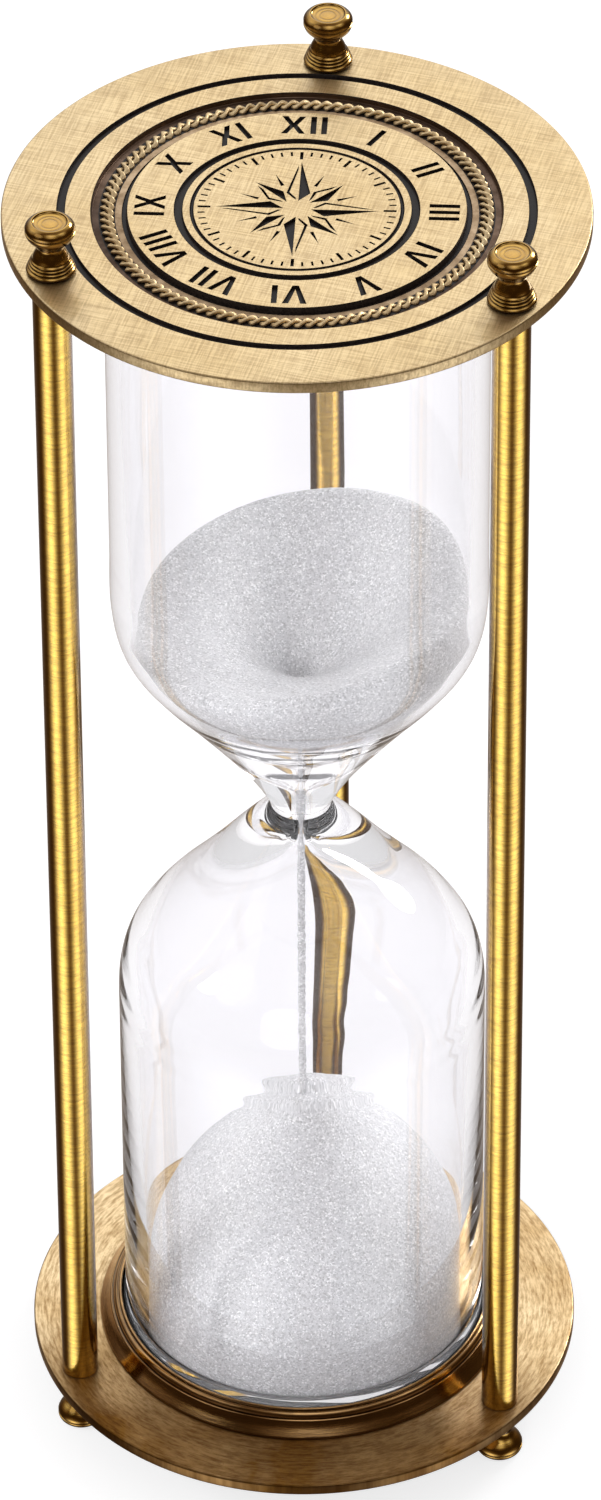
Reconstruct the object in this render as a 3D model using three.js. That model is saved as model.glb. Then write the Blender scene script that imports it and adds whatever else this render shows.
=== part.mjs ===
// Hourglass: two round brass plates held apart by three columns, with turned knobs that are
// screwed onto each column's end and double as feet, and a one-piece glass bulb between them.
// Millimetres, +Z up. The origin lies on the surface the feet stand on, below the glass's axis.
import * as THREE from 'three';

// Frame
const PLATE_RADIUS = 45.5;
const PLATE_THICKNESS = 2;
const COLUMN_LENGTH = 222.5;
const COLUMN_RADIUS = 3;
const COLUMN_CIRCLE = 40.7;                 // radius of the circle that the columns stand on
const COLUMN_PLACES = { back: 90, left: 210, right: 330 };

// Knobs, and the M3 studs that hold them
const KNOB_HEIGHT = 9;
const KNOB_RADIUS = 3.87;
const KNOB_NECK_RADIUS = 2.1;
const STUD_RADIUS = 1.5;
const STUD_CHAMFER = 0.3;
const STUD_HOLE_RADIUS = 1.8;
const STUD_IN_KNOB = 3;
const STUD_IN_COLUMN = 5;

// Glass: 60 mm tube, drawn in to a thick-walled neck a little below the middle
const GLASS_RADIUS = 30;
const GLASS_WALL = 2.8;
const GLASS_CORNER = 4.5;
const GLASS_INNER_CORNER = 3.5;
const FILL_HOLE_RADIUS = 7;
const NECK_BORE_RADIUS = 0.9;
const PAD_THICKNESS = 2;
const PAD_RADIUS = 30.3;
const PLUG_DEPTH = 6.5;
const PLUG_TOP_RADIUS = 6.7;
const PLUG_TIP_RADIUS = 6.3;

// Sand
const SAND_RADIUS = 27;
const SAND_GAP = 0.3;
const SAND_LAYER = 2;                       // thickness of the layer that marks the sand's level
const STREAM_RADIUS = 0.55;

// Levels
const FLOOR = KNOB_HEIGHT + PLATE_THICKNESS;            // upper face of the bottom plate
const CEILING = FLOOR + COLUMN_LENGTH;                  // lower face of the top plate
const ROOF = CEILING + PLATE_THICKNESS;                 // upper face of the top plate
const GLASS_BASE = FLOOR + PAD_THICKNESS;
const GLASS_TOP = CEILING - PAD_THICKNESS;
const NECK = FLOOR + 108.4;

// Facets round a full turn
const WIDE_FACETS = 32;
const PLATE_FACETS = 48;
const ROD_FACETS = 16;
const HOLE_FACETS = 12;

const finish = (color, roughness, metalness) =>
  new THREE.MeshStandardMaterial({ color, roughness, metalness });
const polishedBrass = () => finish(0xd9b45a, 0.3, 1);
const columnBrass = () => finish(0xc9a227, 0.28, 1);
const antiqueBrass = () => finish(0x9a7440, 0.4, 1);
const steel = () => finish(0x9b9a96, 0.4, 1);
const darkRubber = () => finish(0x0c0b0c, 0.6, 0);
const whiteRubber = () => finish(0xe6e4e0, 0.6, 0);
const sand = () => finish(0xdcdbe2, 0.9, 0);

function clearGlass() {
  const material = finish(0xf6f8fa, 0.03, 0);
  material.transparent = true;
  material.opacity = 0.25;
  return material;
}

// A solid of revolution round +Z. Its outline is a list of [radius, height], outside going up.
function turned(name, outline, facets, material) {
  const geometry = new THREE.LatheGeometry(outline.map(([r, z]) => new THREE.Vector2(r, z)), facets);
  geometry.rotateX(Math.PI / 2);
  const mesh = new THREE.Mesh(geometry, material);
  mesh.name = name;
  return mesh;
}

const raised = (outline, height) => outline.map(([r, z]) => [r, height + z]);
const upsideDown = (outline, height) => outline.map(([r, z]) => [r, height - z]).reverse();

// A quarter round from one outline point to the next, bulging away from its centre.
function quarterRound(centreR, centreZ, radius, fromDegrees, steps = 3) {
  return Array.from({ length: steps + 1 }, (_, i) => {
    const angle = THREE.MathUtils.degToRad(fromDegrees + (90 * i) / steps);
    return [centreR + radius * Math.cos(angle), centreZ + radius * Math.sin(angle)];
  });
}

function columnCentre(place) {
  const angle = THREE.MathUtils.degToRad(COLUMN_PLACES[place]);
  return new THREE.Vector2(COLUMN_CIRCLE * Math.cos(angle), COLUMN_CIRCLE * Math.sin(angle));
}

function ringOfPoints(radius, count, centre = new THREE.Vector2()) {
  return Array.from({ length: count }, (_, i) => {
    const angle = (2 * Math.PI * i) / count;
    return new THREE.Vector2(radius * Math.cos(angle), radius * Math.sin(angle)).add(centre);
  });
}

// Round plate with a clearance hole for each column's stud.
function plate(name, height, material) {
  const shape = new THREE.Shape(ringOfPoints(PLATE_RADIUS, PLATE_FACETS));
  for (const place of Object.keys(COLUMN_PLACES)) {
    const hole = ringOfPoints(STUD_HOLE_RADIUS, HOLE_FACETS, columnCentre(place));
    shape.holes.push(new THREE.Path(hole));
  }
  const geometry = new THREE.ExtrudeGeometry(shape, { depth: PLATE_THICKNESS, bevelEnabled: false });
  const mesh = new THREE.Mesh(geometry, material);
  mesh.name = name;
  mesh.position.z = height;
  return mesh;
}

// Rod with a blind hole in each end.
function column(place) {
  const topHole = COLUMN_LENGTH - STUD_IN_COLUMN;
  const outline = [
    [0, STUD_IN_COLUMN], [STUD_HOLE_RADIUS, STUD_IN_COLUMN], [STUD_HOLE_RADIUS, 0],
    [COLUMN_RADIUS, 0], [COLUMN_RADIUS, COLUMN_LENGTH],
    [STUD_HOLE_RADIUS, COLUMN_LENGTH], [STUD_HOLE_RADIUS, topHole], [0, topHole],
  ];
  const mesh = turned(`column_${place}`, outline, ROD_FACETS, columnBrass());
  const centre = columnCentre(place);
  mesh.position.set(centre.x, centre.y, FLOOR);
  return mesh;
}

// Turned knob: ringed flange, bell, neck and a broad flat-topped head, with a blind hole below.
const knobOutline = [
  [0, STUD_IN_KNOB], [STUD_HOLE_RADIUS, STUD_IN_KNOB], [STUD_HOLE_RADIUS, 0],
  [3.5, 0], [3.8, 0.5], [3.5, 1.3], [3.1, 2.1], [2.65, 3.1], [KNOB_NECK_RADIUS, 4.2],
  [2.3, 5], [3.3, 6.1], [KNOB_RADIUS, 7.1], [KNOB_RADIUS, 7.9], [3.3, KNOB_HEIGHT], [0, KNOB_HEIGHT],
];

// Stud, from the bottom of the column's hole through the plate to the bottom of the knob's hole.
const studLength = STUD_IN_COLUMN + PLATE_THICKNESS + STUD_IN_KNOB;
const studOutline = [
  [0, 0], [STUD_RADIUS - STUD_CHAMFER, 0], [STUD_RADIUS, STUD_CHAMFER],
  [STUD_RADIUS, studLength - STUD_CHAMFER], [STUD_RADIUS - STUD_CHAMFER, studLength], [0, studLength],
];

function fastening(end, place) {
  const atTop = end === 'top';
  const knobShape = atTop ? raised(knobOutline, ROOF) : upsideDown(knobOutline, KNOB_HEIGHT);
  const studShape = atTop
    ? raised(studOutline, CEILING - STUD_IN_COLUMN)
    : upsideDown(studOutline, FLOOR + STUD_IN_COLUMN);
  const pair = new THREE.Group();
  pair.add(turned(`knob_${end}_${place}`, knobShape, ROD_FACETS, antiqueBrass()));
  pair.add(turned(`stud_${end}_${place}`, studShape, HOLE_FACETS, steel()));
  const centre = columnCentre(place);
  pair.position.set(centre.x, centre.y, 0);
  return pair;
}

// Stepped ring that keeps the end of the glass in the middle of its plate.
const seatRingOutline = [
  [30.6, 0], [34.3, 0], [34.1, 0.4], [33.2, 1.3], [32.45, 2.7], [32.1, 2.7],
  [31.9, 3.4], [31.4, 4.1], [30.6, 4.1], [30.6, 0],
];
const padOutline = [[0, 0], [PAD_RADIUS, 0], [PAD_RADIUS, PAD_THICKNESS], [0, PAD_THICKNESS]];

// Outlines of the drawn glass either side of the neck, as heights above or below the neck.
const outerShoulderAbove = [[6.4, 3.6], [9.8, 9.6], [14.9, 16.6], [20.4, 23.6], [25.4, 29.6],
  [29.1, 35.6], [GLASS_RADIUS, 41.6]];
const outerShoulderBelow = [[GLASS_RADIUS, -36.4], [29.5, -31.4], [26.7, -26.4], [21.6, -20.4],
  [16.4, -14.4], [11.8, -8.4], [7.6, -3.4], [4.8, -0.6]];
const bowlAbove = [[NECK_BORE_RADIUS, 7.6], [1.8, 10], [4, 11.9], [7.4, 14.5], [11.8, 18.4],
  [16.4, 22.8], [20.6, 27.1], [23.8, 31.1], [25.9, 34.6], [26.9, 38.1],
  [GLASS_RADIUS - GLASS_WALL, 42.1]];
const domeBelow = [[GLASS_RADIUS - GLASS_WALL, -38], [26.6, -33.4], [25.2, -29.2], [22.6, -25.4],
  [18.6, -21.6], [13.6, -17.6], [8.6, -14], [4.5, -11.2], [1.8, -9.2], [NECK_BORE_RADIUS, -7.4]];

function glassOutline() {
  const inside = GLASS_RADIUS - GLASS_WALL;
  const outerCorner = GLASS_RADIUS - GLASS_CORNER;
  const innerCorner = inside - GLASS_INNER_CORNER;
  return [
    [0, GLASS_BASE],
    ...quarterRound(outerCorner, GLASS_BASE + GLASS_CORNER, GLASS_CORNER, -90),
    ...raised(outerShoulderBelow, NECK),
    ...raised(outerShoulderAbove, NECK),
    ...quarterRound(outerCorner, GLASS_TOP - GLASS_CORNER, GLASS_CORNER, 0),
    [FILL_HOLE_RADIUS, GLASS_TOP],
    [FILL_HOLE_RADIUS, GLASS_TOP - GLASS_WALL],
    ...quarterRound(innerCorner, GLASS_TOP - GLASS_WALL - GLASS_INNER_CORNER,
      GLASS_INNER_CORNER, 0).reverse(),
    ...raised(bowlAbove, NECK).reverse(),
    ...raised(domeBelow, NECK).reverse(),
    ...quarterRound(innerCorner, GLASS_BASE + GLASS_WALL + GLASS_INNER_CORNER,
      GLASS_INNER_CORNER, -90).reverse(),
    [0, GLASS_BASE + GLASS_WALL],
  ];
}

const plugOutline = [
  [0, GLASS_TOP - PLUG_DEPTH], [PLUG_TIP_RADIUS, GLASS_TOP - PLUG_DEPTH],
  [PLUG_TOP_RADIUS, GLASS_TOP], [0, GLASS_TOP],
];

// Upper sand: a funnel-shaped surface round a small pit, from the wall to the axis.
const funnel = [[SAND_RADIUS, 42.1], [21, 38.5], [14, 34.4], [7, 30.2], [3, 27.2], [0, 26]];
const bedTop = raised(funnel, NECK - SAND_LAYER - SAND_GAP);
const upperLayer = [...raised(funnel, NECK - SAND_LAYER).reverse(), ...raised(funnel, NECK)];
const sandThroatEnd = 0.6;
const bedBottom = bowlAbove.slice(0, -1).map(([r, z]) => [r - SAND_GAP, NECK + z + SAND_GAP]);
const upperBed = [
  [0, NECK + sandThroatEnd], [NECK_BORE_RADIUS - SAND_GAP, NECK + sandThroatEnd],
  ...bedBottom, ...bedTop,
];

// Lower sand: a heap that stands on the inside of the glass and leans on its wall.
const heapHeights = [[SAND_RADIUS, 16.5], [25, 21.5], [22, 26.5], [18, 31], [13, 35.5],
  [8, 40], [4.5, 44.5], [2, 49], [0, 50.5]];
const heapFoot = GLASS_BASE + GLASS_WALL + SAND_GAP;
const heap = [
  [0, heapFoot],
  ...quarterRound(SAND_RADIUS - GLASS_INNER_CORNER, heapFoot + GLASS_INNER_CORNER,
    GLASS_INNER_CORNER, -90),
  ...raised(heapHeights, FLOOR),
];
const heapPeak = FLOOR + heapHeights.at(-1)[1];
const streamTop = NECK + sandThroatEnd - SAND_GAP;
const stream = [
  [0, heapPeak + SAND_GAP], [STREAM_RADIUS, heapPeak + SAND_GAP],
  [STREAM_RADIUS, streamTop], [0, streamTop],
];

const hourglass = new THREE.Group();
hourglass.name = 'hourglass';
hourglass.add(
  plate('bottom_plate', KNOB_HEIGHT, antiqueBrass()),
  plate('top_plate', CEILING, polishedBrass()),
  turned('seat_ring_bottom', raised(seatRingOutline, FLOOR), WIDE_FACETS, antiqueBrass()),
  turned('seat_ring_top', upsideDown(seatRingOutline, CEILING), WIDE_FACETS, antiqueBrass()),
  turned('pad_bottom', raised(padOutline, FLOOR), WIDE_FACETS, darkRubber()),
  turned('pad_top', upsideDown(padOutline, CEILING), WIDE_FACETS, darkRubber()),
  turned('glass_bulb', glassOutline(), WIDE_FACETS, clearGlass()),
  turned('fill_plug', plugOutline, HOLE_FACETS, whiteRubber()),
  turned('sand_upper_bed', upperBed, WIDE_FACETS, sand()),
  turned('sand_upper_level', upperLayer, WIDE_FACETS, sand()),
  turned('sand_lower_heap', heap, WIDE_FACETS, sand()),
  turned('sand_stream', stream, HOLE_FACETS, sand()),
);
for (const place of Object.keys(COLUMN_PLACES)) {
  hourglass.add(column(place), fastening('top', place), fastening('bottom', place));
}

export default hourglass;
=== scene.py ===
"""Looks of the hourglass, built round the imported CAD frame. Outlines are in millimetres."""

import math
import random

import bmesh
import bpy
from mathutils import Matrix, Vector, noise


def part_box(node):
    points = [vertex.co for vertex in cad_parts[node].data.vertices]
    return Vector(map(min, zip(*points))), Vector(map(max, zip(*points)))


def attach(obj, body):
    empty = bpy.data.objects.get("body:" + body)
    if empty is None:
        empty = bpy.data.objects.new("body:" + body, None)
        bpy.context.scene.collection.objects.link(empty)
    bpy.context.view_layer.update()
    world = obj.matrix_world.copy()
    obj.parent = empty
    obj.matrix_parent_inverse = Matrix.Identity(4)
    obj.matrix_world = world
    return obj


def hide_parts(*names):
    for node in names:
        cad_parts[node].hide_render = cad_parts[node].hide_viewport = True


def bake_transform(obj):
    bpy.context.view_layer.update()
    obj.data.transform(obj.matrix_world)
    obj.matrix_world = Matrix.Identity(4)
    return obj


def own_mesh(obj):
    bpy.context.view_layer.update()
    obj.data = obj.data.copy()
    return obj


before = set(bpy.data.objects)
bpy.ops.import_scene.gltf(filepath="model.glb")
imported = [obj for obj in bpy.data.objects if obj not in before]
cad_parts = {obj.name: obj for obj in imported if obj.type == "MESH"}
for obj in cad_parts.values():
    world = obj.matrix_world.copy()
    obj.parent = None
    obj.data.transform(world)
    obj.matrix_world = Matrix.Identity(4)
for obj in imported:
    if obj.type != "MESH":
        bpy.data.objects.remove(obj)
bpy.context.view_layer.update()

MM = 0.001
PLACES = ("back", "left", "right")
FULL_TURN = 2 * math.pi

# Heights and centres, from the frame
FLOOR_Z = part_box("bottom_plate")[1].z
UNDERSIDE_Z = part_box("bottom_plate")[0].z
CEILING_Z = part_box("top_plate")[0].z
ROOF_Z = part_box("top_plate")[1].z
GLASS_BASE_Z, GLASS_TOP_Z = (corner.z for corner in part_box("glass_bulb"))
PLATE_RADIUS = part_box("top_plate")[1].x / MM
PLATE_THICKNESS = (ROOF_Z - CEILING_Z) / MM
COLUMN_LENGTH = (CEILING_Z - FLOOR_Z) / MM
GLASS_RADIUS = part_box("glass_bulb")[1].x / MM
GLASS_LENGTH = (GLASS_TOP_Z - GLASS_BASE_Z) / MM
SAND_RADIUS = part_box("sand_upper_level")[1].x / MM
NECK_Z = FLOOR_Z + 108.4 * MM
NECK = (NECK_Z - GLASS_BASE_Z) / MM
GLASS_WALL = 2.8
GLASS_FLOOR = 1.7
GLASS_SINK = 1.0
SAND_BASE_Z = GLASS_BASE_Z + (GLASS_FLOOR - GLASS_SINK + 0.05) * MM

# Camera: it stands in front, a little to the right of -Y, and looks down at the middle
CAMERA_BEARING = math.radians(-7.1)
CAMERA_PITCH = math.radians(-38.311)
CAMERA_ROLL = math.radians(-0.367)
CAMERA_DISTANCE = 1.1553
CAMERA_HEIGHT = 1.0424
CAMERA_LENS = 220.0


def centre_of(node):
    low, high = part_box(node)
    return (low.x + high.x) / 2, (low.y + high.y) / 2


# ---------------------------------------------------------------- outlines

def arc(r, z, radius, start, sweep, steps):
    """Points of a round stretch about (r, z), from start degrees through sweep degrees."""
    angles = (math.radians(start + sweep * i / steps) for i in range(steps + 1))
    return [(r + radius * math.cos(a), z + radius * math.sin(a)) for a in angles]


def bead(r, z, height, depth):
    """A half-round ridge that stands out from radius r, centred on height z."""
    return [(r + depth * math.sin(math.pi * i / 6), z + height * (i / 6 - 0.5)) for i in range(7)]


def curved(points, steps):
    """A smooth curve (Catmull-Rom) through the points."""
    ends = [points[0], *points, points[-1]]
    out = []
    for a, b, c, d in zip(ends, ends[1:], ends[2:], ends[3:]):
        for i in range(steps):
            t = i / steps
            out.append(tuple(
                0.5 * (2 * q + (s - p) * t + (2 * p - 5 * q + 4 * s - w) * t * t
                       + (3 * q - p - 3 * s + w) * t ** 3)
                for p, q, s, w in zip(a, b, c, d)))
    return out + [points[-1]]


def raised(outline, height):
    return [(r, z + height) for r, z in outline]


def clamped(value):
    """The value, kept within 0 to 1."""
    return min(1, max(0, value))


# ---------------------------------------------------------------- meshes

def new_object(name, mesh, place=(0, 0, 0)):
    piece = bpy.data.objects.new(name, mesh)
    piece.location = place
    bpy.context.scene.collection.objects.link(piece)
    return piece


def finish_mesh(mesh, sharp_angle):
    mesh.validate()
    mesh.shade_smooth()
    mesh.set_sharp_from_angle(angle=math.radians(sharp_angle))


def revolve(name, outline, segments=96, place=(0, 0, 0), down=False, sharp=32, shape=None):
    """A solid of revolution about Z. The outline goes up on the outside, and closes on itself or
    on the axis. With down it stands on its head. shape(x, y, z) may move each point."""
    ring = outline[0] == outline[-1]
    points = outline[:-1] if ring else outline
    sign = -1 if down else 1
    vertices, rows = [], []
    for r, z in points:
        count = 1 if r < 1e-6 else segments
        rows.append([len(vertices) + i for i in range(count)])
        for i in range(count):
            a = FULL_TURN * i / segments
            x, y, h = r * math.cos(a), r * math.sin(a), z
            if shape:
                x, y, h = shape(x, y, h)
            vertices.append((x * MM, y * MM, h * MM * sign))
    faces = []
    pairs = list(zip(rows, rows[1:])) + ([(rows[-1], rows[0])] if ring else [])
    for low, high in pairs:
        for i in range(segments):
            j = (i + 1) % segments
            quad = [low[i % len(low)], low[j % len(low)], high[j % len(high)], high[i % len(high)]]
            face = list(dict.fromkeys(quad))
            if len(face) > 2:
                faces.append(face[::sign])
    mesh = bpy.data.meshes.new(name)
    mesh.from_pydata(vertices, [], faces)
    finish_mesh(mesh, sharp)
    return new_object(name, mesh, place)


def paint(piece, materials, rule=lambda face: 0):
    """Gives the piece its materials, and each face the one whose number rule(face) says."""
    piece.data.materials.clear()
    for material in materials:
        piece.data.materials.append(material)
    for face in piece.data.polygons:
        face.material_index = rule(face)


def sweep(name, sections, place):
    """A tube that closes on itself, through rings of points."""
    vertices = [p for ring in sections for p in ring]
    n, turns = len(sections[0]), len(sections)
    faces = []
    for k in range(turns):
        m = (k + 1) % turns
        for i in range(n):
            j = (i + 1) % n
            faces.append([k * n + i, k * n + j, m * n + j, m * n + i])
    mesh = bpy.data.meshes.new(name)
    mesh.from_pydata(vertices, [], faces)
    finish_mesh(mesh, 60)
    return new_object(name, mesh, place)


def joined(name, pieces):
    """One object from several, keeping their materials."""
    bm = bmesh.new()
    materials = []
    for piece in pieces:
        part = bmesh.new()
        part.from_mesh(piece.data)
        part.transform(piece.matrix_basis)
        numbers = []
        for material in piece.data.materials:
            if material not in materials:
                materials.append(material)
            numbers.append(materials.index(material))
        for face in part.faces:
            face.material_index = numbers[face.material_index]
        temporary = bpy.data.meshes.new("part")
        part.to_mesh(temporary)
        part.free()
        bm.from_mesh(temporary)
        bpy.data.meshes.remove(temporary)
        bpy.data.objects.remove(piece)
    mesh = bpy.data.meshes.new(name)
    bm.to_mesh(mesh)
    bm.free()
    for material in materials:
        mesh.materials.append(material)
    return new_object(name, mesh)


# ---------------------------------------------------------------- materials

class Nodes:
    """A node tree, with short ways to add to it."""

    def __init__(self, tree):
        self.tree = tree

    def node(self, kind, inputs=(), **settings):
        made = self.tree.nodes.new(kind)
        for key, value in settings.items():
            setattr(made, key, value)
        for key, value in dict(inputs).items():
            self.feed(made.inputs[key], value)
        return made

    def feed(self, socket, value):
        if isinstance(value, bpy.types.NodeSocket):
            self.tree.links.new(value, socket)
        else:
            socket.default_value = value

    def millimetres(self, scale=(1, 1, 1), turn=0.0):
        """Object coordinates in millimetres, turned about Z and then stretched."""
        source = self.node("ShaderNodeTexCoord").outputs["Object"]
        turned = self.node("ShaderNodeVectorRotate", {"Vector": source, "Angle": turn},
                           rotation_type="Z_AXIS").outputs[0]
        stretch = [s / MM for s in scale]
        return self.node("ShaderNodeVectorMath", {0: turned, 1: stretch},
                         operation="MULTIPLY").outputs[0]

    def round_the_axis(self, across, along):
        """A place for marks that run round Z: so many to the millimetre across them, and so
        many to the radian along them."""
        flat = self.node("ShaderNodeVectorMath", {0: self.millimetres(), 1: (1, 1, 0)},
                         operation="MULTIPLY").outputs[0]
        radius = self.node("ShaderNodeVectorMath", {0: flat}, operation="LENGTH").outputs["Value"]
        outward = self.node("ShaderNodeVectorMath", {0: flat}, operation="NORMALIZE").outputs[0]
        turned = self.node("ShaderNodeVectorMath", {0: outward, "Scale": along},
                           operation="SCALE").outputs[0]
        height = self.calculate("MULTIPLY", radius, across)
        raised_to = self.node("ShaderNodeCombineXYZ", {"Z": height}).outputs[0]
        return self.node("ShaderNodeVectorMath", {0: turned, 1: raised_to}).outputs[0]

    def noise(self, vector, scale, detail=3.0, roughness=0.55, distortion=0.0):
        return self.node("ShaderNodeTexNoise", {
            "Vector": vector, "Scale": scale, "Detail": detail, "Roughness": roughness,
            "Distortion": distortion}).outputs["Fac"]

    def ramp(self, value, *stops):
        made = self.node("ShaderNodeValToRGB", {"Fac": value})
        elements = made.color_ramp.elements
        while len(elements) < len(stops):
            elements.new(0.5)
        for element, (position, colour) in zip(elements, stops):
            element.position = position
            element.color = (*colour, 1) if len(colour) == 3 else colour
        return made.outputs["Color"]

    def grey(self, value, low, high, start=0.0, end=1.0):
        """The value, stretched from start..end to low..high."""
        return self.node("ShaderNodeMapRange", {
            "Value": value, "From Min": start, "From Max": end,
            "To Min": low, "To Max": high}).outputs["Result"]

    def mix(self, share, a, b, blend="MIX"):
        made = self.node("ShaderNodeMix", data_type="RGBA", blend_type=blend)
        self.feed(made.inputs[0], share)
        for socket, value in ((made.inputs[6], a), (made.inputs[7], b)):
            flat = isinstance(value, tuple) and len(value) == 3
            self.feed(socket, (*value, 1) if flat else value)
        return made.outputs[2]

    def calculate(self, operation, a, b):
        return self.node("ShaderNodeMath", {0: a, 1: b}, operation=operation).outputs[0]

    def bump(self, height, strength, distance, normal=None):
        inputs = {"Height": height, "Strength": strength, "Distance": distance * MM}
        if normal:
            inputs["Normal"] = normal
        return self.node("ShaderNodeBump", inputs).outputs["Normal"]

    def crevice(self, distance):
        """Ambient occlusion, for painted shade in crevices: 0 deep in a crevice and 1 in the open.
        """
        return self.node("ShaderNodeAmbientOcclusion", {"Distance": distance * MM},
                         samples=6).outputs["AO"]


class MaterialNodes(Nodes):
    """A material's node tree, with a Principled shader at its end."""

    def __init__(self, name):
        self.material = bpy.data.materials.new(name)
        self.material.use_nodes = True
        super().__init__(self.material.node_tree)
        self.shader = self.tree.nodes["Principled BSDF"]

    def set(self, **values):
        for key, value in values.items():
            self.feed(self.shader.inputs[key.replace("_", " ")], value)


# The tone that worn and spotted brass is multiplied by
WORN = (0.5, 0.42, 0.32)


def brass(name, light, dark, roughness, brush, crevice=None, patina=0.0, wear=0.3, lacquer=0.0,
          rim=None, front_shade=None):
    """Brass with brush marks (brush is a way to place them, the settings of each set of them,
    and how deep they are), a drift between two tones, and a distance and tone for painted shade in
    its crevices, found by ambient occlusion. patina darkens specks of it, wear darkens its brush
    marks, and lacquer is a clear coat. rim is a painted dark edge: the tone where the surface
    turns away from the view. The last argument is painted shade too: a darker tone for the side
    towards
    -Y."""
    n = MaterialNodes(name)
    placing, sets, depth = brush
    layers = [n.noise(placing(n, *settings), 1.0, 4, 0.65) for settings in sets]
    lines = layers[0]
    for layer in layers[1:]:
        lines = n.calculate("MULTIPLY", n.calculate("ADD", lines, layer), 0.5)
    drift = n.noise(n.millimetres(), 0.05, 4, 0.6, 0.6)
    specks = n.noise(n.millimetres(), 2.2, 2, 0.7)
    tone = n.mix(n.grey(drift, 0, 1, 0.35, 0.68), dark, light)
    # Painted shade: the side towards -Y is darkened to a given tone, more in some places than
    # others, following the drift.
    if front_shade:
        across = n.node("ShaderNodeSeparateXYZ", {"Vector": n.millimetres()}).outputs["Y"]
        share = n.calculate("MULTIPLY", n.grey(across, 1, 0, -34, -8),
                            n.grey(drift, 0.7, 1.2, 0.3, 0.7))
        tone = n.mix(share, tone, front_shade)
    tone = n.mix(n.grey(lines, wear, 0, 0.4, 0.57), tone, WORN, "MULTIPLY")
    tone = n.mix(n.grey(specks, 0, patina, 0.55, 0.8), tone, WORN, "MULTIPLY")
    rough = n.grey(lines, roughness * 1.25, roughness * 0.8, 0.35, 0.65)
    # Painted shade: crevices, found by ambient occlusion, are darkened towards the given tone and
    # made rougher.
    if crevice:
        distance, shade = crevice
        unoccluded = n.grey(n.crevice(distance), 0, 1, 0.35, 0.85)
        tone = n.mix(unoccluded, shade, tone)
        rough = n.calculate("ADD", rough, n.grey(unoccluded, 0.25, 0))
    # Painted shade: where the surface turns away from the view it is painted darker, towards the
    # rim tone.
    if rim:
        turned = n.node("ShaderNodeLayerWeight", {"Blend": 0.5}).outputs["Facing"]
        tone = n.mix(n.grey(turned, 0, 1, 0.42, 0.72), tone, rim)
    n.set(Base_Color=tone, Metallic=1.0, Roughness=rough, Coat_Weight=lacquer,
          Coat_Roughness=0.12, Coat_IOR=1.8,
          Normal=n.bump(lines, depth, 0.05, n.bump(specks, depth * 0.4, 0.02)))
    return n.material


def enamel():
    """Black filling of the engraved lines. It is also laid on the rope channel's inner wall and
    floor, as painted shade.
    """
    n = MaterialNodes("black_enamel_and_channel_shade")
    grain = n.noise(n.millimetres(), 3.0, 4)
    n.set(Base_Color=n.ramp(grain, (0.3, (0.004, 0.003, 0.003)), (0.8, (0.03, 0.02, 0.016))),
          Roughness=n.grey(grain, 0.3, 0.55), Specular_IOR_Level=0.25,
          Normal=n.bump(grain, 0.4, 0.05))
    return n.material


def rubber(name, colour):
    n = MaterialNodes(name)
    grain = n.noise(n.millimetres(), 5.0, 5)
    n.set(Base_Color=n.mix(n.grey(grain, 0, 0.5), colour, tuple(c * 0.6 for c in colour)),
          Roughness=n.grey(grain, 0.4, 0.6), Normal=n.bump(grain, 0.3, 0.05))
    return n.material


def glass():
    n = MaterialNodes("clear_glass")
    ripple = n.noise(n.millimetres((1, 1, 0.25)), 0.05, 1)
    n.set(Base_Color=(0.955, 0.95, 0.97, 1), Roughness=0.0, IOR=1.47,
          Transmission_Weight=1.0, Normal=n.bump(ripple, 0.25, 0.6))
    return n.material


def sand_material():
    """Fine pale grains: each has its own shade, and a few of them flash."""
    n = MaterialNodes("white_sand")
    place = n.millimetres()
    grains = n.node("ShaderNodeTexVoronoi", {"Vector": place, "Scale": 4.2})
    shade = n.node("ShaderNodeSeparateColor", {"Color": grains.outputs["Color"]})
    clumps = n.noise(place, 0.3, 4, 0.6)
    fine = n.noise(place, 6.0, 3, 0.7)
    tone = n.ramp(shade.outputs[0], (0.0, (0.44, 0.44, 0.45)), (0.3, (0.62, 0.62, 0.63)),
                  (0.8, (0.72, 0.72, 0.73)), (1.0, (1.0, 1.0, 1.0)))
    tone = n.mix(n.grey(clumps, 0, 0.12, 0.4, 0.7), tone, (0.58, 0.58, 0.6))
    rough = n.grey(shade.outputs[1], 0.95, 0.25, 0.92, 0.97)
    relief = n.calculate("ADD", n.grey(grains.outputs["Distance"], 1, 0), fine)
    n.set(Base_Color=tone, Roughness=rough, Specular_IOR_Level=0.25,
          Normal=n.bump(relief, 0.3, 0.08))
    return n.material


def thread_steel():
    n = MaterialNodes("stud_steel")
    lines = n.noise(n.millimetres((0.3, 0.3, 8)), 1.0, 3)
    n.set(Base_Color=n.ramp(lines, (0.3, (0.36, 0.35, 0.33)), (0.8, (0.62, 0.61, 0.59))),
          Metallic=1.0, Roughness=n.grey(lines, 0.25, 0.45), Normal=n.bump(lines, 0.3, 0.02))
    return n.material


CROSSED_BRUSH = (Nodes.millimetres, [((0.12, 3.2, 1.0), math.radians(12)),
                                     ((0.12, 3.2, 1.0), math.radians(98))], 0.5)
ROUND_BRUSH = (Nodes.round_the_axis, [(1.7, 9.0), (2.6, 22.0)], 1.4)
COLUMN_BRUSH = (Nodes.millimetres, [((0.2, 0.2, 5.0), 0.0), ((0.5, 0.5, 1.6), 0.4)], 0.6)
TURNED_MARKS = (Nodes.millimetres, [((0.4, 0.4, 6.0), 0.0)], 0.4)
# The dark brown that crevices of the knobs and seat rings are painted with: painted shade
CREVICE_SHADE = (0.03, 0.014, 0.003)

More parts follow.
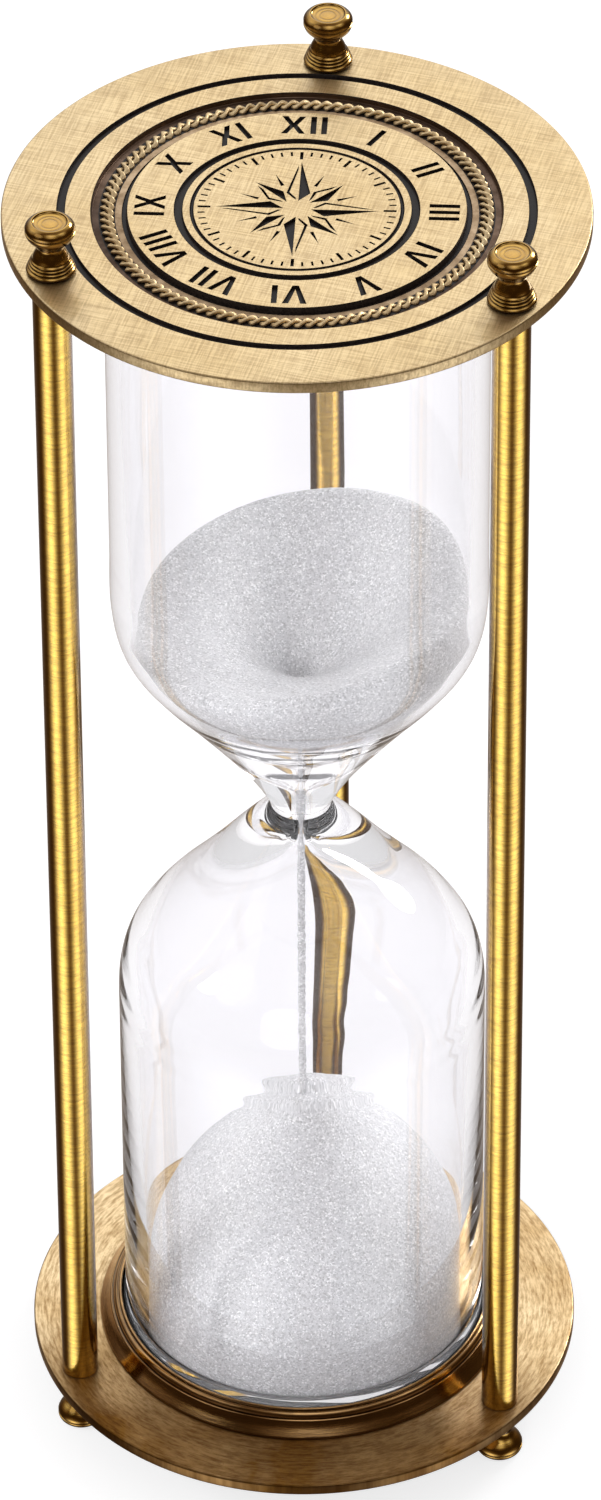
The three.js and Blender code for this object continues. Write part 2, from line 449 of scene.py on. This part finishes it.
PALE_BRASS = brass("pale_brass", (0.87, 0.68, 0.39), (0.8, 0.6, 0.31), 0.42, CROSSED_BRUSH,
                   patina=0.12, wear=0.6, lacquer=0.3)
# Painted shade: the rods' edges, where they turn away from the view, are painted dark brown.
COLUMN_BRASS = brass("column_brass", (0.86, 0.56, 0.09), (0.78, 0.48, 0.06), 0.15, COLUMN_BRUSH,
                     patina=0.25, wear=0.6, lacquer=0.6, rim=(0.16, 0.07, 0.006))
# Painted shade: darkened in crevices, and painted dark at edges that turn away from the view.
KNOB_BRASS = brass("knob_brass", (0.72, 0.43, 0.07), (0.42, 0.22, 0.03), 0.15, TURNED_MARKS,
                   crevice=(1.5, CREVICE_SHADE), patina=0.3, lacquer=0.5, rim=(0.1, 0.05, 0.008))
# Painted shade: darkened near the seat ring and other parts by ambient occlusion, and darker on
# the side towards -Y.
BROWN_BRASS = brass("brown_brass", (0.95, 0.74, 0.45), (0.66, 0.45, 0.22), 0.34, ROUND_BRUSH,
                    crevice=(8.0, (0.2, 0.11, 0.04)), patina=0.3, wear=0.9,
                    front_shade=(0.2, 0.095, 0.02))
# Painted shade: darkened in its grooves and crevices.
RING_BRASS = brass("ring_brass", (0.7, 0.42, 0.16), (0.4, 0.22, 0.07), 0.15, TURNED_MARKS,
                   crevice=(0.6, CREVICE_SHADE), patina=0.2, wear=0.5, lacquer=0.5)
# Painted shade: darkened in crevices, near the channel's walls and the rope.
FLOOR_BRASS = brass("floor_brass", (0.62, 0.46, 0.3), (0.4, 0.28, 0.17), 0.5, TURNED_MARKS,
                    crevice=(0.7, (0.05, 0.03, 0.02)), patina=0.4)
# Painted shade: the dark tone of the rope channel's outer band, for its outer wall in shade
CHANNEL_SHADE_BRASS = brass("channel_wall_shade_brass", (0.2, 0.13, 0.09), (0.08, 0.05, 0.035), 0.45, TURNED_MARKS,
                   patina=0.3)
# Painted shade: near black in the crevices between and under the strands, for the dark outlines of
# the links.
ROPE_BRASS = brass("rope_brass", (0.85, 0.68, 0.42), (0.76, 0.57, 0.32), 0.5, CROSSED_BRUSH,
                   crevice=(0.32, (0.006, 0.003, 0.002)))
ENAMEL_AND_CHANNEL_SHADE = enamel()
BLACK_RUBBER = rubber("black_rubber", (0.012, 0.012, 0.013))
GREY_RUBBER = rubber("grey_rubber", (0.78, 0.78, 0.8))
WHITE_RUBBER = rubber("white_rubber", (0.8, 0.79, 0.76))
GLASS = glass()
SAND = sand_material()
STEEL = thread_steel()


# ---------------------------------------------------------------- plates

GROOVE_DEPTH = 0.55
CHANNEL_DEPTH = 0.85
# The channel floor's bands: the inner one brown, the outer one dark as painted shade of the
# channel's outer wall; the rest of the channel is black, also painted shade.
INNER_BAND = (26.95, 27.95)
OUTER_BAND = (30.5, 31.6)
ENGRAVED_RADIUS = 37.2
ROPE_RADIUS = 29.2
ROPE_TURNS = 54
NUMERALS = ("XII", "I", "II", "III", "IV", "V", "VI", "VII", "VIII", "IX", "X", "XI")
NUMERAL_FOOT = 20.3
NUMERAL_HEIGHT = 4.7
NUMERAL_STROKE = 0.19
ENGRAVING_TURN = math.radians(3.95)


def groove(middle, width, depth):
    """The section of a cut ring, from its outer edge to its inner edge, with leaning walls."""
    half = width / 2
    return [(middle + half + 0.06, 0), (middle + half, -0.08), (middle + half - 0.12, -depth),
            (middle - half + 0.12, -depth), (middle - half, -0.08), (middle - half - 0.06, 0)]


def plate_outline():
    """Half section of a plate with its engraved face at height 0."""
    edge = 0.3
    channel = [(31.75, 0), (31.68, -0.1), (31.5, -CHANNEL_DEPTH + 0.1), (31.4, -CHANNEL_DEPTH),
               (OUTER_BAND[0], -CHANNEL_DEPTH), (INNER_BAND[1], -CHANNEL_DEPTH),
               (INNER_BAND[0], -CHANNEL_DEPTH), (26.85, -CHANNEL_DEPTH - 0.25),
               (26.3, -CHANNEL_DEPTH - 0.25), (26.12, -0.1), (26.05, 0)]
    return [(0, -PLATE_THICKNESS), (20, -PLATE_THICKNESS), (40, -PLATE_THICKNESS),
            *arc(PLATE_RADIUS - edge, -PLATE_THICKNESS + edge, edge, -90, 90, 4),
            *arc(PLATE_RADIUS - edge, -edge, edge, 0, 90, 4),
            *groove(36.3, 1.25, GROOVE_DEPTH), *channel,
            *groove(18.26, 1.25, GROOVE_DEPTH), *groove(16.2, 0.5, GROOVE_DEPTH * 0.7),
            (14, 0), (7, 0), (0, 0)]


def rope():
    """Two strands twisted round each other, pressed flat in the middle of the channel."""
    strands = []
    steps, sides = ROPE_TURNS * 12, 10
    swing, rise = 0.66, 0.26
    half_width, half_height = 0.5, 0.34
    for strand in range(2):
        sections = []
        for k in range(steps):
            a = FULL_TURN * k / steps
            twist = ROPE_TURNS * a + math.pi * strand
            outward = Vector((math.cos(a), math.sin(a), 0))
            centre = outward * (ROPE_RADIUS + swing * math.cos(twist))
            centre.z = rise * math.sin(twist)
            angles = (FULL_TURN * i / sides for i in range(sides))
            sections.append([(centre + half_width * math.cos(b) * outward
                              + Vector((0, 0, half_height * math.sin(b)))) * MM for b in angles])
        strands.append(sweep(f"strand_{strand}", sections, (0, 0, -CHANNEL_DEPTH * MM * 0.8)))
        paint(strands[-1], [ROPE_BRASS])
    return strands


def prism(outline, bearing):
    """A cutter: a flat outline in millimetres, turned clockwise by a bearing."""
    c, s = math.cos(bearing), math.sin(bearing)
    flat = [(x * c + y * s, y * c - x * s) for x, y in outline]
    area = sum(a[0] * b[1] - b[0] * a[1] for a, b in zip(flat, flat[1:] + flat[:1]))
    if area < 0:
        flat.reverse()
    n = len(flat)
    vertices = [(x * MM, y * MM, z * MM) for z in (-GROOVE_DEPTH, GROOVE_DEPTH) for x, y in flat]
    faces = [list(range(n))[::-1], [n + i for i in range(n)]]
    faces += [[i, (i + 1) % n, n + (i + 1) % n, n + i] for i in range(n)]
    mesh = bpy.data.meshes.new("cutter")
    mesh.from_pydata(vertices, [], faces)
    cutter = new_object("cutter", mesh)
    paint(cutter, [ENAMEL_AND_CHANNEL_SHADE])
    return cutter


def letter_outline(letter):
    """I, V or X, one unit high, as (width, outline) with its foot on 0."""
    t = NUMERAL_STROKE
    if letter == "I":
        return t, [(0, 0), (t, 0), (t, 1), (0, 1)]
    width, lean = 0.8, t * 1.08
    middle = width / 2
    if letter == "V":
        return width, [(middle - lean / 2, 0), (middle + lean / 2, 0), (width, 1),
                       (width - lean, 1), (middle, 0.22), (lean, 1), (0, 1)]
    notch = lean * 0.62
    return width, [(0, 0), (lean, 0), (middle, 0.5 - notch), (width - lean, 0), (width, 0),
                   (middle + notch, 0.5), (width, 1), (width - lean, 1), (middle, 0.5 + notch),
                   (lean, 1), (0, 1), (middle - notch, 0.5)]


def numeral(text, bearing):
    """Cutters for one numeral of the ring, its foot towards the centre."""
    gap = 0.17
    letters = [letter_outline(letter) for letter in text]
    x = -(sum(width for width, _ in letters) + gap * (len(text) - 1)) / 2
    cutters = []
    for width, outline in letters:
        placed = [((x + u) * NUMERAL_HEIGHT, NUMERAL_FOOT + v * NUMERAL_HEIGHT)
                  for u, v in outline]
        cutters.append(prism(placed, bearing))
        x += width + gap
    return cutters


def rose_point(bearing, length, waist, root):
    """One point of the compass rose: a black half, and a half that is only outlined."""
    line = 0.42
    black = [(0.08, root * 0.5), (waist, root), (0.08, length)]
    edge = [(-0.34, root * 0.5 + 0.3), (-waist, root), (-0.3, length - 0.9),
            (-0.3, length - 0.9 - line * 3.2), (-waist + line * 1.15, root + 0.2),
            (-0.34, root * 0.5 + 0.3 + line * 1.3)]
    return [prism(black, bearing), prism(edge, bearing)]


def engraving():
    """All cutters of the engraved face: a ring of numerals round a compass rose."""
    cutters = []
    for i, text in enumerate(NUMERALS):
        cutters += numeral(text, FULL_TURN * i / 12)
    for i in range(8):
        size = (12.7, 1.85, 4.2) if i % 2 == 0 else (9.6, 1.6, 4.9)
        cutters += rose_point(FULL_TURN * i / 8, *size)
        cutters.append(prism([(-0.3, 6.6), (0.3, 6.6), (0, 9.9)], FULL_TURN * (i + 0.5) / 8))
    ticks, outer = 60, 15.3
    for i in range(ticks):
        inner, half = (13.3, 0.26) if i % 5 == 0 else (14.2, 0.17)
        cutters.append(prism([(-half, inner), (half, inner), (half, outer), (-half, outer)],
                             FULL_TURN * i / ticks))
    return joined("engraving", cutters)


def engraved_plate(name, node, face_z, down, metal):
    piece = revolve(name, plate_outline(), 192, sharp=25)
    paint(piece, [metal, ENAMEL_AND_CHANNEL_SHADE, FLOOR_BRASS, CHANNEL_SHADE_BRASS],
          lambda face: plate_part(face.center / MM))
    cutter = engraving()
    cut = piece.modifiers.new("engraving", "BOOLEAN")
    cut.operation, cut.solver, cut.object = "DIFFERENCE", "EXACT", cutter
    cut.material_mode = "TRANSFER"
    bpy.context.view_layer.update()
    evaluated = piece.evaluated_get(bpy.context.evaluated_depsgraph_get())
    mesh = bpy.data.meshes.new_from_object(evaluated)
    piece.modifiers.clear()
    piece.data = mesh
    bpy.data.objects.remove(cutter)
    bpy.context.view_layer.update()
    whole = joined(name, [piece, *rope()])
    finish_mesh(whole.data, 25)
    whole.data.transform(Matrix.Rotation(ENGRAVING_TURN, 4, "Z"))
    if down:
        whole.data.transform(Matrix.Rotation(math.pi, 4, "Y"))
    whole.location = (0, 0, face_z)
    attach(whole, "frame")
    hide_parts(node)
    return whole


def plate_part(centre):
    """Which material a face of the uncut plate has: metal, enamel, or one of the channel's two
    bands. The enamel on the channel's inner wall and floor, and the dark outer band, are painted
    shade.
    """
    r = math.hypot(centre.x, centre.y)
    if centre.z > -0.02 or centre.z < -CHANNEL_DEPTH - 0.3 or r > ENGRAVED_RADIUS:
        return 0
    if INNER_BAND[0] < r < INNER_BAND[1]:
        return 2
    return 3 if OUTER_BAND[0] < r < OUTER_BAND[1] else 1


top = engraved_plate("top_plate_engraved", "top_plate", ROOF_Z, False, PALE_BRASS)
bottom = engraved_plate("bottom_plate_engraved", "bottom_plate", UNDERSIDE_Z, True, BROWN_BRASS)


# ---------------------------------------------------------------- columns, knobs and studs

def column_outline():
    radius, chamfer = 3.0, 0.15
    return [(0, 0), (radius - chamfer, 0), (radius, chamfer),
            *[(radius, COLUMN_LENGTH * i / 8) for i in range(1, 8)],
            (radius, COLUMN_LENGTH - chamfer), (radius - chamfer, COLUMN_LENGTH),
            (0, COLUMN_LENGTH)]


def knob_outline():
    bell = curved([(2.86, 2.45), (2.7, 3.0), (2.42, 3.6), (2.14, 4.15), (2.1, 4.55),
                   (2.42, 5.15), (3.05, 5.75), (3.55, 6.35), (3.78, 6.85)], 3)
    rim = [(3.87, 7.1), (3.87, 7.32), (3.7, 7.42), (3.66, 7.55), (3.7, 7.68), (3.87, 7.78)]
    crown = curved([(3.87, 7.95), (3.74, 8.3), (3.4, 8.7), (3.05, 8.92), (2.86, 9.0)], 3)
    dish = curved([(2.74, 8.98), (2.62, 8.78), (2.4, 8.66), (2.1, 8.62), (1.95, 8.58),
                   (1.8, 8.62), (1.4, 8.64), (1.25, 8.6), (1.1, 8.64), (0.6, 8.67), (0, 8.68)], 3)
    return [(0, 3.1), (1.6, 3.1), (1.6, 0), (3.35, 0),
            *bead(3.45, 0.48, 0.8, 0.4), *bead(3.32, 1.16, 0.48, 0.26),
            *bead(3.14, 1.66, 0.44, 0.22), *bead(2.96, 2.12, 0.4, 0.18),
            *bell, *rim, *crown, *dish]


def thread(name, length, place):
    """A stud with a real M3 x 0.5 thread."""
    pitch, crest, root, sides = 0.5, 1.5, 1.22, 24
    rows = int(length / pitch * 8)
    outline = [(0, 0)] + [(crest, length * i / rows) for i in range(rows + 1)] + [(0, length)]

    def wind(x, y, z):
        if math.hypot(x, y) < 0.1:
            return x, y, z
        phase = (z / pitch - math.atan2(y, x) / FULL_TURN) % 1
        depth = abs(phase - 0.5) * 2
        end = min(1, min(z, length - z) / 0.4)
        r = (root + (crest - root) * depth * end) / crest
        return x * r, y * r, z
    piece = revolve(name, outline, sides, place, sharp=60, shape=wind)
    paint(piece, [STEEL])
    return piece


def column(spot):
    node = f"column_{spot}"
    x, y = centre_of(node)
    rod = revolve(f"{node}_rod", column_outline(), 64, (x, y, FLOOR_Z))
    paint(rod, [COLUMN_BRASS])
    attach(rod, "frame")
    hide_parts(node)


def knob(end, spot):
    node = f"knob_{end}_{spot}"
    x, y = centre_of(node)
    at_top = end == "top"
    seat = ROOF_Z if at_top else UNDERSIDE_Z
    body = f"top_knob_{spot}" if at_top else f"foot_{spot}"
    piece = revolve(f"{node}_turned", knob_outline(), 72, (x, y, seat), down=not at_top, sharp=40)
    paint(piece, [KNOB_BRASS])
    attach(piece, body)
    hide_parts(node)


def stud(end, spot):
    node = f"stud_{end}_{spot}"
    x, y = centre_of(node)
    low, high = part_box(node)
    piece = thread(f"{node}_thread", (high.z - low.z) / MM, (x, y, low.z))
    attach(piece, f"top_stud_{spot}" if end == "top" else "frame")
    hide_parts(node)


for spot in PLACES:
    column(spot)
    for end in ("top", "bottom"):
        knob(end, spot)
        stud(end, spot)


# ---------------------------------------------------------------- glass and its seats

def seat_ring_outline():
    cove = curved([(34.25, 0.4), (33.8, 0.95), (33.25, 1.62), (32.85, 2.25), (32.62, 2.68)], 4)
    tread = curved([(32.1, 2.88), (31.98, 3.25), (31.72, 3.56), (31.46, 3.7)], 3)
    lip = arc(30.9, 3.82, 0.28, 0, 180, 6)
    return [(30.6, 0), (34.1, 0), (34.3, 0.12), *cove, (32.5, 2.78), (32.4, 2.76), (32.32, 2.58),
            (32.18, 2.58), *tread, (31.38, 3.58), (31.26, 3.58), *lip, (30.6, 0)]


def inset(outline, depth):
    """An outline that goes up on the outside, moved in by a depth."""
    out = []
    for i, (r, z) in enumerate(outline):
        (r0, z0), (r1, z1) = outline[max(i - 1, 0)], outline[min(i + 1, len(outline) - 1)]
        length = math.hypot(r1 - r0, z1 - z0)
        out.append((r - depth * (z1 - z0) / length, z + depth * (r1 - r0) / length))
    return out


# The glass about its neck, outside from below and inside from above. The lower shoulder is a
# wall of even thickness, so that the heap is seen through it without a second image: its inside
# is drawn through the first seven points of the outside, moved in.
GLASS_CORNER = 2.2
GLASS_STEPS = 6
WAIST = curved([(30, -46), (30, -42), (30, -38.4), (29.75, -34.4), (28.8, -30.6), (26.9, -27.1),
                (24.3, -23.5), (21.4, -20.1), (16.6, -14.4), (11.9, -8.4), (7.9, -3.6),
                (5.4, -1.0), (4.9, 0.3), (5.6, 1.8), (7.4, 5.2), (10.4, 10), (15.2, 16.6),
                (20.5, 23.6), (25.2, 29.6), (28.8, 35.4), (30, 42), (30, 50)], GLASS_STEPS)
SHOULDER = inset(WAIST, GLASS_WALL)[6 * GLASS_STEPS::-GLASS_STEPS]
BORE = curved([(27.2, 50), (27.2, 42.1), (26.9, 38.1), (25.9, 34.6), (23.8, 31.1), (20.6, 27.1),
               (16.4, 22.8), (11.8, 18.4), (7.4, 14.5), (4, 11.9), (1.8, 10), (0.9, 7.6),
               (0.85, 0), (0.9, -7.4), (1.8, -9.2), (4.5, -11.2), (8.6, -14), (13.6, -17.6),
               (18.2, -21.4), *SHOULDER], GLASS_STEPS)

# A black pad is seen as a black ring high up in the glass wall, so the lowest part of it is grey
GREY_PAD_HEIGHT = 1.5


def pad_outline(floor):
    """A cup with its floor at that height, which takes the glass's rounded end."""
    gap, touch = 0.05, -0.015
    middle = (GLASS_RADIUS - GLASS_CORNER, floor + GLASS_CORNER)
    side = arc(*middle, GLASS_CORNER + touch, 0, -90, 12)
    return [(0, 0), (30.3, 0), (30.45, 0.2), (30.45, 3.3), (30.3, 3.5),
            (GLASS_RADIUS + touch, 3.4), *side, (25, floor - touch), (24.8, floor - gap),
            (0, floor - gap)]


def glass_outline():
    """Half section of the bulb from its base: up the outside, in through the fill hole, and down
    the inside through the neck. Heights are above the CAD base, and the real one is sunk a
    little further into its pad."""
    inside = GLASS_RADIUS - GLASS_WALL
    corner, inner_corner = GLASS_CORNER, 2.0
    shoulder = GLASS_RADIUS - corner
    base, floor = -GLASS_SINK, GLASS_FLOOR - GLASS_SINK
    straight = [(GLASS_RADIUS, z) for z in (20, 40)]
    upper = [(GLASS_RADIUS, GLASS_LENGTH - z) for z in (45, 25)]
    return [
        (0, base), (10, base), (20, base),
        *arc(shoulder, base + corner, corner, -90, 90, 12),
        *straight, *raised(WAIST, NECK), *upper,
        *arc(shoulder, GLASS_LENGTH - corner, corner, 0, 90, 12),
        (16, GLASS_LENGTH), *arc(7.4, GLASS_LENGTH - 0.4, 0.4, 90, 90, 4),
        *arc(7.4, GLASS_LENGTH - GLASS_WALL + 0.4, 0.4, 180, 90, 4),
        (16, GLASS_LENGTH - GLASS_WALL),
        *arc(inside - inner_corner, GLASS_LENGTH - GLASS_WALL - inner_corner, inner_corner,
             90, -90, 10),
        *raised(BORE, NECK),
        *arc(inside - inner_corner, floor + inner_corner, inner_corner, 0, -90, 10),
        (12, floor), (0, floor)]


def glass_bulb():
    piece = revolve("blown_glass", glass_outline(), 144, (0, 0, GLASS_BASE_Z), sharp=80)
    paint(piece, [GLASS])
    piece.visible_shadow = False
    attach(piece, "frame")
    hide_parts("glass_bulb")


def seats():
    depth = (GLASS_BASE_Z - FLOOR_Z) / MM
    for end, height, down, floor in (("bottom", FLOOR_Z, False, depth - GLASS_SINK),
                                     ("top", CEILING_Z, True, depth)):
        ring = revolve(f"seat_ring_{end}_stepped", seat_ring_outline(), 160, (0, 0, height), down)
        paint(ring, [RING_BRASS])
        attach(ring, "frame")
        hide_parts(f"seat_ring_{end}")
        pad = revolve(f"pad_{end}_cupped", pad_outline(floor), 96, (0, 0, height), down)
        paint(pad, [BLACK_RUBBER, GREY_RUBBER],
              lambda face: int(abs(face.center.z) < GREY_PAD_HEIGHT * MM))
        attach(pad, "frame")
        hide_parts(f"pad_{end}")


def fill_plug():
    low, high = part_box("fill_plug")
    length = (high.z - low.z) / MM
    outline = [(0, 0), (5.9, 0), (6.3, 0.4), *bead(6.35, 2.0, 0.8, 0.15),
               *bead(6.45, 3.6, 0.8, 0.15), (6.7, length - 0.3), (6.5, length), (0, length)]
    plug = revolve("fill_plug_ribbed", outline, 64, (0, 0, low.z))
    paint(plug, [WHITE_RUBBER])
    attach(plug, "frame")
    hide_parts("fill_plug")


glass_bulb()
seats()
fill_plug()


# ---------------------------------------------------------------- sand

HEAP_SEED = Vector((3.1, 7.7, 1.3))
FUNNEL_SEED = Vector((0.4, 2.2, 5.0))
UPPER_LEAN = Vector((0.18, 0.1))
LOWER_LEAN = Vector((0.08, 0.1))
LAYER_DEPTH = 1.6


def rough_height(x, y, seed, broad, fine):
    """Unevenness of loose sand, in millimetres. It dies away towards the glass."""
    hold = clamped((SAND_RADIUS - math.hypot(x, y)) / 3)
    place = Vector((x, y, 0))
    return hold * (broad * noise.fractal(place * 0.09 + seed, 1.0, 2.0, 3)
                   + fine * noise.noise(place * 1.1 + seed * 3))


def wall_radius(z):
    """The inside of the glass at a height above the neck."""
    for (high_r, high), (low_r, low) in zip(BORE, BORE[1:]):
        if low <= z <= high:
            return low_r + (high_r - low_r) * (z - low) / (high - low)
    return BORE[0][0]


def spaced(outline, gap):
    """The same open outline with points no further apart than gap."""
    out = [outline[0]]
    for a, b in zip(outline, outline[1:]):
        n = max(1, math.ceil(math.dist(a, b) / gap))
        out += [(a[0] + (b[0] - a[0]) * i / n, a[1] + (b[1] - a[1]) * i / n)
                for i in range(1, n + 1)]
    return out


def funnel():
    """The upper sand's surface from the wall to the pit, as heights above the neck."""
    return curved([(SAND_RADIUS, 41.2), (26.5, 42.5), (25.2, 43.0), (23, 42.1), (14, 36.2),
                   (8, 31.6), (5, 29.3), (3.2, 27.7), (2.1, 25.9), (1.0, 25.0), (0, 24.9)], 4)


def lean(x, y):
    """How far the upper sand stands above or below a level surface: it lies against one side."""
    hold = clamped(math.hypot(x, y) / 18) ** 2
    return hold * UPPER_LEAN.dot(Vector((x, y)))


def within_wall(x, y, z):
    """The point, drawn in to just inside the glass where it would go through it."""
    scale = min(1, (wall_radius(z) - 0.18) / max(math.hypot(x, y), 0.01))
    return x * scale, y * scale, z


def height_at(outline, r):
    """The height, at a radius, of an outline that runs inwards."""
    for (outer, high), (inner, low) in zip(outline, outline[1:]):
        if inner <= r <= outer:
            return low + (high - low) * (r - inner) / max(outer - inner, 1e-9)
    return outline[0][1]


def upper_sand():
    """A layer that moves with the level, on a bed that stretches after it."""
    height = (0, 0, NECK_Z)
    surface = spaced(funnel(), 0.6)
    under = [(r, z - LAYER_DEPTH) for r, z in surface]

    def shape_layer(x, y, z):
        return within_wall(x, y, z + lean(x, y) + rough_height(x, y, FUNNEL_SEED, 0.5, 0.12))
    layer = revolve("sand_upper_surface", under[::-1] + surface, 180, height, sharp=60,
                    shape=shape_layer)
    paint(layer, [SAND])
    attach(layer, "upper_sand")
    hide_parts("sand_upper_level")

    rows = [(r, z) for r, z in reversed(BORE) if 8 < z < 40]
    bowl = [(r - 0.2, z) for r, z in spaced(rows, 0.8)]
    cover = [(r, z - LAYER_DEPTH / 2) for r, z in spaced(funnel(), 1.5)]

    def shape_bed(x, y, z):
        level = height_at(cover, math.hypot(x, y))
        top = level + lean(x, y)
        return within_wall(x, y, top if z > level - 0.001 else min(z, top))
    bed_outline = [(0, 0.6), (0.6, 0.6), (0.65, 7.9), *bowl, *cover]
    bed = revolve("sand_upper_bulk", bed_outline, 120, height, sharp=60, shape=shape_bed)
    paint(bed, [SAND])
    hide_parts("sand_upper_bed")
    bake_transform(bed)


def slump(x, y):
    """A landslide on the heap's front: a hollow with a lip, which fades away to the right."""
    depth, height = 3.8, 1.6
    across = math.hypot((x - 4.0) / 15.7, (y + 23.0) / 8.5)
    hollow = depth / (1 + math.exp((across - 0.93) / 0.035))
    lip = height * math.exp(-((across - 1.04) / 0.07) ** 2)
    return clamped((9 - x) / 16) * (lip - hollow)


def heap_peak(x, y):
    """The blunt cone under the falling stream, a little to one side."""
    foot, flank, height = 8.6, 5.6, 2.9
    return height * clamped((foot - math.dist((x, y), (1.2, 0.3))) / flank) ** 2


def lower_sand():
    base = (SAND_BASE_Z - FLOOR_Z) / MM
    slope = curved([(SAND_RADIUS, 17.6), (25.9, 20.2), (24.1, 23.6), (21.2, 27.8), (17.4, 32.0),
                    (13, 36.0), (8.6, 39.8), (5, 42.4), (2, 43.7), (0, 44.0)], 4)
    corner = 1.9
    outline = [(0, base), (SAND_RADIUS - corner, base),
               *arc(SAND_RADIUS - corner, base + corner, corner, -90, 90, 6)[1:],
               *spaced(slope, 0.45)]

    def move(x, y, z):
        if z < slope[0][1] - 0.01:
            return x, y, z
        loose = LOWER_LEAN.dot(Vector((x, y))) + rough_height(x, y, HEAP_SEED, 0.7, 0.12)
        return x, y, z + loose + slump(x, y) + heap_peak(x, y)
    heap = revolve("sand_lower_mound", outline, 240, (0, 0, FLOOR_Z), sharp=60, shape=move)
    paint(heap, [SAND])
    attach(heap, "frame")
    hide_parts("sand_lower_heap")
    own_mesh(heap)


def sand_stream():
    """The falling thread, which runs on inside the heap so that it still reaches a lower one."""
    top = (NECK_Z - FLOOR_Z) / MM + 0.3
    bottom = 7.0
    radius, spread, waver = 0.56, 0.12, 0.07
    dice = random.Random(11)
    rows = 120
    outline = [(0, bottom)]
    for i in range(rows + 1):
        t = i / rows
        outline.append((radius + spread * (1 - t) + dice.uniform(-waver, waver),
                        bottom + (top - bottom) * t))
    outline.append((0, top))
    stream = revolve("sand_stream_thread", outline, 12, (0, 0, FLOOR_Z), sharp=80)
    paint(stream, [SAND])
    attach(stream, "frame")
    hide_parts("sand_stream")


upper_sand()
lower_sand()
sand_stream()


# ---------------------------------------------------------------- floor, light and camera

def towards(bearing, elevation, distance):
    """A point seen from the hourglass: bearing 0 is the camera's side, and positive is to the
    right in the picture."""
    a = math.radians(bearing) - math.pi / 2 - CAMERA_BEARING
    e = math.radians(elevation)
    return Vector((math.cos(a) * math.cos(e), math.sin(a) * math.cos(e), math.sin(e))) * distance


def soft_light(name, bearing, elevation, distance, size, power, mirrored=True):
    data = bpy.data.lights.new(name, "AREA")
    data.shape, data.size, data.energy = "DISK", size, power
    light = bpy.data.objects.new(name, data)
    aim = Vector((0, 0, 0.13))
    light.location = aim + towards(bearing, elevation, distance)
    light.rotation_euler = (aim - light.location).to_track_quat("-Z", "Y").to_euler()
    light.visible_glossy = mirrored
    bpy.context.scene.collection.objects.link(light)


def studio_floor():
    mesh = bpy.data.meshes.new("studio_floor")
    reach = 30
    mesh.from_pydata([(-reach, -reach, 0), (reach, -reach, 0), (reach, reach, 0),
                      (-reach, reach, 0)], [], [(0, 1, 2, 3)])
    floor = new_object("studio_floor", mesh)
    n = MaterialNodes("studio_paper")
    grain = n.noise(n.millimetres(), 0.2, 3)
    n.set(Base_Color=n.ramp(grain, (0, (0.44, 0.44, 0.45)), (1, (0.46, 0.46, 0.47))),
          Roughness=0.9, Emission_Color=(1, 1, 1, 1), Emission_Strength=0.74)
    mesh.materials.append(n.material)
    floor.visible_glossy = False


def studio_world():
    """Soft panels low on either side of the camera, behind the hourglass and high up, with a dim
    brown between them."""
    world = bpy.data.worlds.new("studio")
    bpy.context.scene.world = world
    world.use_nodes = True
    n = Nodes(world.node_tree)
    sky = n.node("ShaderNodeTexCoord").outputs["Generated"]
    total = 0.04
    for bearing, elevation, sharpness, strength in (
            (-40, -38, 16, 2.1), (54, -38, 16, 1.9), (180, 39, 5, 1.4), (-110, 40, 14, 1.0),
            (180, -38, 4, 0.3), (8, 56, 24, 1.6), (74, 50, 40, 1.2)):
        facing = n.node("ShaderNodeVectorMath", {0: sky, 1: towards(bearing, elevation, 1)},
                        operation="DOT_PRODUCT").outputs["Value"]
        glow = n.calculate("POWER", n.calculate("MAXIMUM", facing, 0.0), sharpness)
        total = n.calculate("ADD", n.calculate("MULTIPLY", glow, strength), total)
    # matt surfaces are lit by an even pale light, and the glass shows another
    path = n.node("ShaderNodeLightPath")
    for ray, strength in (("Is Diffuse Ray", 0.46), ("Is Transmission Ray", 0.82)):
        total = n.node("ShaderNodeMix", {0: path.outputs[ray], 2: total, 3: strength}).outputs[0]
    # the dimmer it is, the browner, like the room that brass mirrors
    background = n.tree.nodes["Background"]
    n.feed(background.inputs["Strength"], total)
    n.feed(background.inputs["Color"], n.ramp(total, (0, (1, 0.55, 0.2)), (0.5, (1, 1, 1))))


def camera():
    data = bpy.data.cameras.new("camera")
    data.lens, data.sensor_width, data.sensor_fit = CAMERA_LENS, 36, "AUTO"
    view = bpy.data.objects.new("camera", data)
    forward = Vector((math.sin(CAMERA_BEARING) * math.cos(CAMERA_PITCH),
                      math.cos(CAMERA_BEARING) * math.cos(CAMERA_PITCH),
                      math.sin(CAMERA_PITCH)))
    right = Vector((math.cos(CAMERA_BEARING), -math.sin(CAMERA_BEARING), 0))
    up = right.cross(forward)
    c, s = math.cos(CAMERA_ROLL), math.sin(CAMERA_ROLL)
    axes = Matrix((right * c + up * s, up * c - right * s, -forward)).transposed()
    place = Vector((-math.sin(CAMERA_BEARING), -math.cos(CAMERA_BEARING), 0)) * CAMERA_DISTANCE
    place.z = CAMERA_HEIGHT
    view.matrix_world = Matrix.Translation(place) @ axes.to_4x4()
    bpy.context.scene.collection.objects.link(view)
    bpy.context.scene.camera = view


camera()
studio_floor()
studio_world()
soft_light("key", 139, 28, 1.4, 0.4, 6)
soft_light("fill", -12, 26, 1.7, 1.0, 4.5, mirrored=False)
soft_light("left", -60, 40, 1.5, 0.8, 1)
soft_light("side", -80, 30, 1.5, 0.5, 5, mirrored=False)
soft_light("right", 70, 30, 1.5, 0.5, 1.2, mirrored=False)

scene = bpy.context.scene
scene.view_settings.view_transform = "Standard"
scene.cycles.caustics_reflective = False
scene.cycles.caustics_refractive = True
scene.cycles.max_bounces = 48
scene.cycles.glossy_bounces = 32
scene.cycles.transmission_bounces = 40
